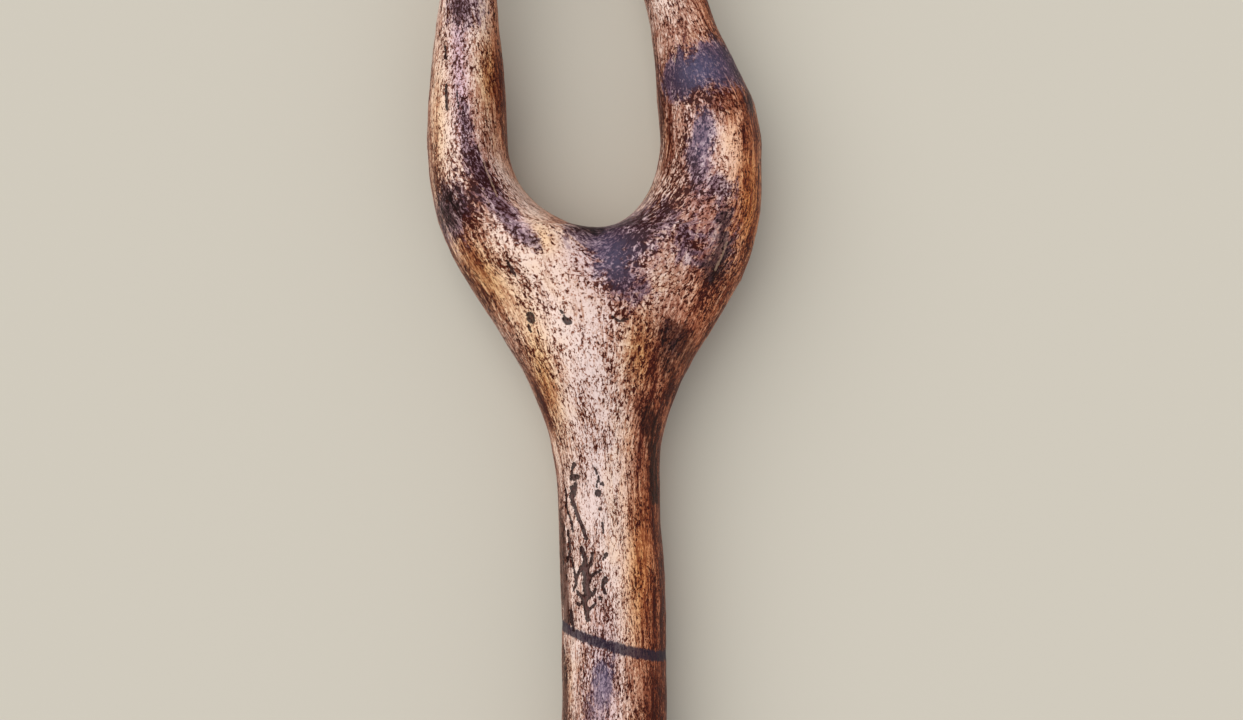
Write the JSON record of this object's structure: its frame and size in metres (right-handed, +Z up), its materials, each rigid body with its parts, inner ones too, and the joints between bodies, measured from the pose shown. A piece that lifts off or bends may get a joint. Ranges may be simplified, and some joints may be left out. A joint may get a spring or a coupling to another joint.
{
  "type": "hay fork",
  "caption": "Traditional hay fork grown and carved from one naturally forked branch, with a long round handle, a broad crotch and slender curved tines.",
  "frame": {"origin": "centre of the flat sawn face at the butt of the handle", "axes": "+X runs from the butt along the handle to the tips of the tines, +Y is to the left of someone who holds the handle, and +Z is up, on the hollow side that carries hay; the fork lies on its back, on the underside of its butt and of its crotch"},
  "size_m": [1.64, 0.1418, 0.097],
  "materials": {
    "branch_wood": "old varnished bare wood, satin to glossy"
  },
  "bodies": {
    "root": {"handle": "branch_wood", "crotch": "branch_wood", "left_tine": "branch_wood", "right_tine": "branch_wood"}
  },
  "joints": []
}
